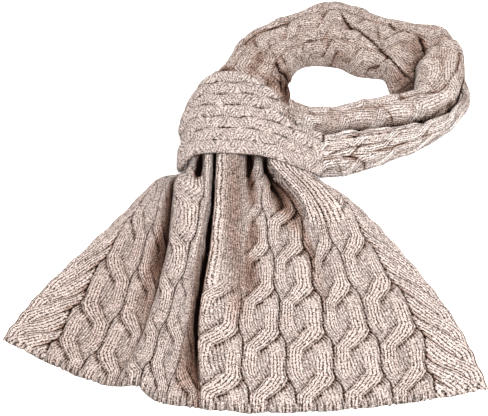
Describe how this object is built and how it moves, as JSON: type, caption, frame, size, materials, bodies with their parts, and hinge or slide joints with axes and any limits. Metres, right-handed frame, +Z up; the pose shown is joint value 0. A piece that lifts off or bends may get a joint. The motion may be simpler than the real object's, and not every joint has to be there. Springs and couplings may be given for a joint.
{
  "type": "pull-through shawl, laid flat",
  "caption": "Cable-knit shawl laid flat: a fan-shaped end pulled through a braided loop band, with a folded neck ring behind it.",
  "frame": {"origin": "centre of the laid-out shawl's bounding box, on the surface it lies on", "axes": "+X to the right across the fan, +Y from the hem towards the neck ring, +Z up from the surface"},
  "size_m": [0.52, 0.5134, 0.051],
  "materials": {
    "fan_knit": "heathered oatmeal cable knit, matt and slightly fuzzy",
    "band_knit": "heathered oatmeal knit in narrow rope braids, matt and slightly fuzzy",
    "back_knit": "wrong side of the heathered cable knit, matt and slightly fuzzy",
    "upper_knit": "heathered oatmeal cable knit, matt and slightly fuzzy",
    "lower_knit": "heathered oatmeal cable knit, matt and slightly fuzzy"
  },
  "bodies": {
    "root": {"front_panel": "fan_knit", "loop_band": "band_knit", "neck_back": "back_knit", "neck_front_upper": "upper_knit", "neck_front_lower": "lower_knit"}
  },
  "joints": []
}
